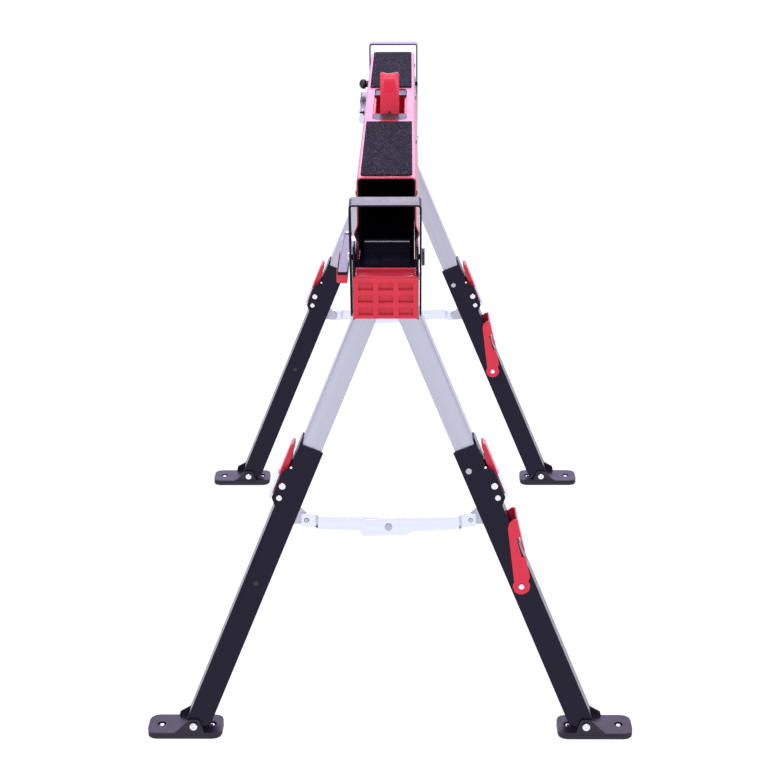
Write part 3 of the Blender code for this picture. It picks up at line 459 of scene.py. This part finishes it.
# ---------------------------------------------------------------- small fittings
def piece_from(shape, name, material, body, smooth=30):
    """Makes a riding piece from a bmesh given in world coordinates."""
    bmesh.ops.recalc_face_normals(shape, faces=shape.faces)
    mesh = bpy.data.meshes.new(name)
    shape.to_mesh(mesh)
    shape.free()
    mesh.materials.append(material)
    made = bpy.data.objects.new(name, mesh)
    bpy.context.scene.collection.objects.link(made)
    mesh.shade_smooth()
    mesh.set_sharp_from_angle(angle=math.radians(smooth))
    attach(made, body)
    return made


def spin(shape, profile, place, sides=28):
    """Adds a turned solid: (distance along the axis, radius) pairs about the place's local Y."""
    rings = []
    for along, radius in profile:
        count = sides if radius > 0 else 1
        ring = []
        for i in range(count):
            angle = 2 * math.pi * i / count
            local = Vector((radius * math.cos(angle), along, radius * math.sin(angle)))
            ring.append(shape.verts.new(place @ local))
        rings.append(ring)
    for first, second in zip(rings, rings[1:]):
        for i in range(sides):
            j = (i + 1) % sides
            if len(first) == 1:
                shape.faces.new((first[0], second[i], second[j]))
            elif len(second) == 1:
                shape.faces.new((first[i], second[0], first[j]))
            else:
                shape.faces.new((first[i], second[i], second[j], first[j]))


def dome(radius, rise, dimple=0.35):
    """Profile of a rivet head on Y = 0 that points to +Y, with a shallow centre dimple."""
    points = [(-0.0002, 0.0), (-0.0002, radius), (0.25 * rise, radius)]
    steps = 5
    for i in range(1, steps):
        turn = math.pi / 2 * i / steps
        reach = radius * (dimple + (1 - dimple) * math.cos(turn))
        points.append((rise * (0.25 + 0.75 * math.sin(turn)), reach))
    points += [(rise, radius * dimple), (rise * 0.72, radius * dimple * 0.55), (rise * 0.70, 0.0)]
    return points


def leg_matrix(end, side):
    """Leg to world: X outward across the leg, Y away from the beam's middle, -Z down it."""
    name = end + "_" + side
    hip = Vector(JOINTS["swing_" + name]["pos_m"])
    up = Vector(JOINTS["telescope_" + name]["axis"])
    hand = SIDES[side] * ENDS[end]
    outward_y = Vector(JOINTS["swing_" + name]["axis"]) * hand
    across = up.cross(outward_y) * -hand
    turn = Matrix((across, outward_y, up)).transposed().to_4x4()
    return Matrix.Translation(hip) @ turn


def leg_heads(name, body, place, heads, material):
    """Rivet heads on a leg's two broad faces, from (across, down, face, radius, rise)."""
    shape = bmesh.new()
    for across, down, face, radius, rise in heads:
        flip = Matrix.Diagonal((1, 1 if face > 0 else -1, 1, 1))
        spot = place @ Matrix.Translation((across, face, -down)) @ flip
        spin(shape, dome(radius, rise), spot)
    piece_from(shape, name, material, body)


def build_leg_fittings(end, side):
    name = end + "_" + side
    place = leg_matrix(end, side)
    face = LEG_DEPTH + 0.0001
    both = (face, -face)
    rivets = [(*head[:2], f, *head[2:]) for head in LATCH_HEADS for f in both]
    leg_heads("latch_rivets_" + name, "lower_" + name, place, rivets, BRIGHT)
    if side == "right":
        dull = [(*STEP_HEAD[:2], f, *STEP_HEAD[2:]) for f in both]
        leg_heads("leg_rivets_" + name, "lower_" + name, place, dull, DULL)
        pins = [(*HOOK_HEAD[:2], f, *HOOK_HEAD[2:]) for f in (HOOK_CHEEK, -HOOK_CHEEK)]
        leg_heads("hook_rivets_" + end, "lower_" + name, place, pins, BRIGHT)
    else:
        screws = [(*LEG_SCREW[:2], f, *LEG_SCREW[2:]) for f in both]
        body = "lower_" + name
        leg_heads("leg_screws_" + name, body, place, screws, PLASTIC_BLACK)

    shape = bmesh.new()
    roller = place @ Matrix.Translation(ROLLER_PLACE)
    profile = [
        (-0.0110, 0.0),
        (-0.0110, 0.0016),
        (-0.0100, 0.0024),
        (0.0100, 0.0024),
        (0.0110, 0.0016),
        (0.0110, 0.0),
    ]
    spin(shape, profile, roller @ Matrix.Translation((0.0025, 0, 0.0)))
    piece_from(shape, "latch_roller_" + name, PLASTIC_BLACK, "latch_" + name)


def build_foot_fittings(end, side):
    """Bright pivot heads on the ears and two sunk rivets that hold the sole."""
    name = end + "_" + side
    body = "foot_" + name
    pivot = Vector(JOINTS["foot_turn_" + name]["pos_m"])
    axis = Vector(JOINTS["foot_turn_" + name]["axis"])
    if axis.y < 0:
        axis.negate()
    shape = bmesh.new()
    for way in (1, -1):
        direction = axis * way
        turn = direction.to_track_quat("Y", "Z").to_matrix().to_4x4()
        spot = Matrix.Translation(pivot + direction * FOOT_EAR) @ turn
        spin(shape, dome(0.0057, 0.0028), spot)
    pad_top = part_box("foot_pad_" + name)[1].z
    for reach in FOOT_RIVET_REACH:
        centre = Vector((pivot.x + SIDES[side] * reach, pivot.y, pad_top + 0.0004))
        turn = Vector((0, 0, 1)).to_track_quat("Y", "X").to_matrix().to_4x4()
        spin(shape, dome(0.0040, 0.0022), Matrix.Translation(centre) @ turn)
    piece_from(shape, "foot_rivets_" + name, BRIGHT, body)


def flat_head(shape, spot, direction, radius, rise):
    """Adds a dome that stands at a world point and points along a direction."""
    turn = Vector(direction).to_track_quat("Y", "Z").to_matrix().to_4x4()
    spin(shape, dome(radius, rise), Matrix.Translation(spot) @ turn)


def build_spreader_rivet(end):
    """Dark rivet through the middle of the spreader, held by the right bar."""
    bar = "spreader_bar_" + end + "_right"
    pin = Vector(JOINTS["spreader_turn_" + end + "_right"]["pos_m"])
    sign = ENDS[end]
    low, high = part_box(bar)
    outer = high.y if sign > 0 else low.y
    height = pin.z - pin.x * math.tan(SPREADER_SAG)
    shape = bmesh.new()
    flat_head(shape, Vector((0.0, outer, height)), (0, sign, 0), 0.0050, 0.0018)
    piece_from(shape, "spreader_rivet_" + end, DULL, "spreader_" + end + "_right")


def bar_piece(shape, low, high, round_by):
    """Adds a box with softened edges."""
    made = bmesh.ops.create_cube(shape, size=1.0)
    centre = (Vector(low) + Vector(high)) / 2
    reach = Vector(high) - Vector(low)
    place = Matrix.Translation(centre) @ Matrix.Diagonal((*reach, 1.0))
    bmesh.ops.transform(shape, matrix=place, verts=made["verts"])
    edges = list({edge for vert in made["verts"] for edge in vert.link_edges})
    bmesh.ops.bevel(shape, geom=edges, offset=round_by, segments=3, affect="EDGES", profile=0.5)


def build_lever_lip():
    """Thumb swell under the lock lever's top edge, and a thin dark triangle of painted shade for
    the notch at its foot.
    """
    low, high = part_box("lock_lever")
    shape = bmesh.new()
    columns = 12
    half = high.x - 0.0012
    rows = []
    for drop, out in LEVER_SWELL:
        row = []
        for step in range(columns + 1):
            across = 2 * step / columns - 1
            dip = 0.0018 * (1 - abs(across) ** 1.5)
            bulge = out * (1 - 0.75 * across**6)
            place = (half * across, low.y - max(bulge, -0.0002), high.z - dip - drop)
            row.append(shape.verts.new(place))
        rows.append(row)
    back = [shape.verts.new((vert.co.x, low.y + 0.0010, vert.co.z)) for vert in rows[0]]
    top = [shape.verts.new((vert.co.x, low.y + 0.0010, vert.co.z)) for vert in rows[-1]]
    rows = [back, *rows, top]
    for lower, upper in zip(rows, rows[1:]):
        for step in range(columns):
            shape.faces.new((lower[step], lower[step + 1], upper[step + 1], upper[step]))
    for step in range(columns):
        shape.faces.new((top[step], top[step + 1], back[step + 1], back[step]))
    shape.faces.new([row[0] for row in reversed(rows)])
    shape.faces.new([row[-1] for row in rows])
    bmesh.ops.recalc_face_normals(shape, faces=shape.faces)
    # painted shade: a dark triangle proud of the lever's face stands in for the notch's hollow
    notch = bmesh.new()
    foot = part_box("well_plate_front")[1].z + 0.0006
    ring = [
        [notch.verts.new((x, low.y + y, foot + z)) for x, z in LEVER_NOTCH_SHADE]
        for y in (-0.0003, 0.0005)
    ]
    for step in range(3):
        follow = (step + 1) % 3
        notch.faces.new((ring[0][step], ring[0][follow], ring[1][follow], ring[1][step]))
    notch.faces.new(ring[0][::-1])
    notch.faces.new(ring[1])
    bmesh.ops.recalc_face_normals(notch, faces=notch.faces)
    piece_from(notch, "lever_notch_shade", SHADOW, "lever")
    piece_from(shape, "lever_lip", LEVER_RED, "lever", 60)


def build_bumper_rims(end):
    """Raised rim round the bumper's top tray and thin lower lips in its nine pockets."""
    low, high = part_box("end_bumper_" + end)
    sign = ENDS[end]
    front = high.y if sign > 0 else low.y
    shape = bmesh.new()

    def across(x_low, x_high, inner, outer, z_low, z_high, round_by):
        ends = sorted((front - sign * inner, front - sign * outer))
        bar_piece(shape, (x_low, ends[0], z_low), (x_high, ends[1], z_high), round_by)

    face_top = high.z - 0.0054
    across(-0.0365, 0.0365, 0.0022, 0.0072, face_top - 0.0008, face_top + 0.0016, 0.0007)
    across(-0.0335, 0.0335, 0.0112, 0.0142, face_top - 0.0006, face_top + 0.0012, 0.0005)
    middle = (low.z + face_top) / 2 - 0.001
    for column in (-1, 0, 1):
        for row in (-1, 0, 1):
            x = column * POCKET_STEP[0]
            z = middle + row * POCKET_STEP[1] - 0.0049
            across(x - POCKET_HALF, x + POCKET_HALF, 0.0006, 0.0042, z - 0.0002, z + 0.0009, 0.0004)
    piece_from(shape, "bumper_rims_" + end, PLASTIC_RED, "root", 60)


def build_bracket_highlights():
    """Thin painted highlight line, a pale strip, across the inner wall of each end bracket."""
    for end, sign in ENDS.items():
        shape = bmesh.new()
        near, far = sorted((sign * (BRACKET_WALL - 0.0004), sign * (BRACKET_WALL + 0.0007)))
        low = (-BRACKET_HIGHLIGHT_HALF, near, BRACKET_HIGHLIGHT - 0.0006)
        bar_piece(shape, low, (BRACKET_HIGHLIGHT_HALF, far, BRACKET_HIGHLIGHT + 0.0007), 0.0003)
        piece_from(shape, "bracket_highlight_" + end, PAINTED_HIGHLIGHT, "root", 60)


def build_beam_rivets():
    """Two rivet heads on each side of each half of the beam."""
    shape = bmesh.new()
    for side in SIDES.values():
        for y in BEAM_RIVET_Y:
            for end in ENDS.values():
                spot = Vector((side * BEAM_WALL, end * y, BEAM_RIVET_Z))
                flat_head(shape, spot, (side, 0, 0), 0.0036, 0.0016)
    piece_from(shape, "beam_rivets", PLASTIC_BLACK, "root")


# ---------------------------------------------------------------- stage
def build_floor():
    shape = bmesh.new()
    bmesh.ops.create_grid(shape, x_segments=8, y_segments=8, size=30.0)
    mesh = bpy.data.meshes.new("floor")
    shape.to_mesh(mesh)
    shape.free()
    floor = bpy.data.objects.new("floor", mesh)
    floor.location.z = -0.0002
    bpy.context.scene.collection.objects.link(floor)
    g = Graph("floor_paper")
    tone = g.ramp(g.noise(3.0, 2.0), [(0.3, 0.18), (0.7, 0.20)])
    paper = g.drive(
        Base_Color=tone,
        Roughness=0.9,
        Specular_IOR_Level=0.0,
        Emission_Color=(0.93, 0.92, 1.0),
        Emission_Strength=1.02,
    )
    mesh.materials.append(paper)


def area_light(name, place, target, size, power, colour=(1.0, 1.0, 1.0)):
    lamp = bpy.data.lights.new(name, "AREA")
    lamp.shape = "RECTANGLE"
    lamp.size, lamp.size_y = size
    lamp.energy = power
    lamp.color = colour
    made = bpy.data.objects.new(name, lamp)
    made.location = place
    aim = Vector(target) - Vector(place)
    made.rotation_euler = aim.to_track_quat("-Z", "Y").to_euler()
    made.visible_camera = False
    bpy.context.scene.collection.objects.link(made)


def build_light():
    world = bpy.data.worlds.new("studio")
    world.use_nodes = True
    sky = world.node_tree.nodes["Background"]
    sky.inputs["Color"].default_value = (0.80, 0.72, 0.98, 1.0)
    sky.inputs["Strength"].default_value = 0.85
    bpy.context.scene.world = world
    middle = (0.0, 0.0, 0.5)
    beam, bail = (0.0, 0.0, 0.8), (0.0, -0.57, 0.81)
    lilac, pale = (0.72, 0.62, 1.0), (0.88, 0.82, 1.0)
    area_light("back_softbox", (0.0, 3.4, 1.9), beam, (3.6, 2.2), 51, lilac)
    area_light("front_softbox", (0.0, -4.6, 2.3), middle, (3.0, 2.4), 36)
    area_light("top_softbox", (0.0, -0.6, 3.2), middle, (1.6, 1.6), 24)
    area_light("high_softbox", (0.0, 1.9, 2.65), bail, (1.8, 1.0), 32, pale)
    area_light("left_softbox", (-3.0, -1.2, 1.8), middle, (2.0, 2.0), 8)
    area_light("right_softbox", (3.0, -1.0, 1.8), middle, (2.0, 2.0), 8)
    bpy.context.scene.view_settings.view_transform = "Standard"


def build_camera():
    lens = bpy.data.cameras.new("camera")
    lens.sensor_width = 36.0
    lens.lens = 77.85
    camera = bpy.data.objects.new("camera", lens)
    camera.location = (0.0291, -2.5097, 1.3153)
    camera.rotation_euler = (math.radians(69.0), math.radians(0.30), math.radians(0.609))
    bpy.context.scene.collection.objects.link(camera)
    bpy.context.scene.camera = camera


build_camera()
dress_nodes()
for end_name in ENDS:
    for side_name in SIDES:
        build_leg_fittings(end_name, side_name)
        build_foot_fittings(end_name, side_name)
for end_name in ENDS:
    build_spreader_rivet(end_name)
    build_bumper_rims(end_name)
build_lever_lip()
build_beam_rivets()
build_bracket_highlights()
build_floor()
build_light()
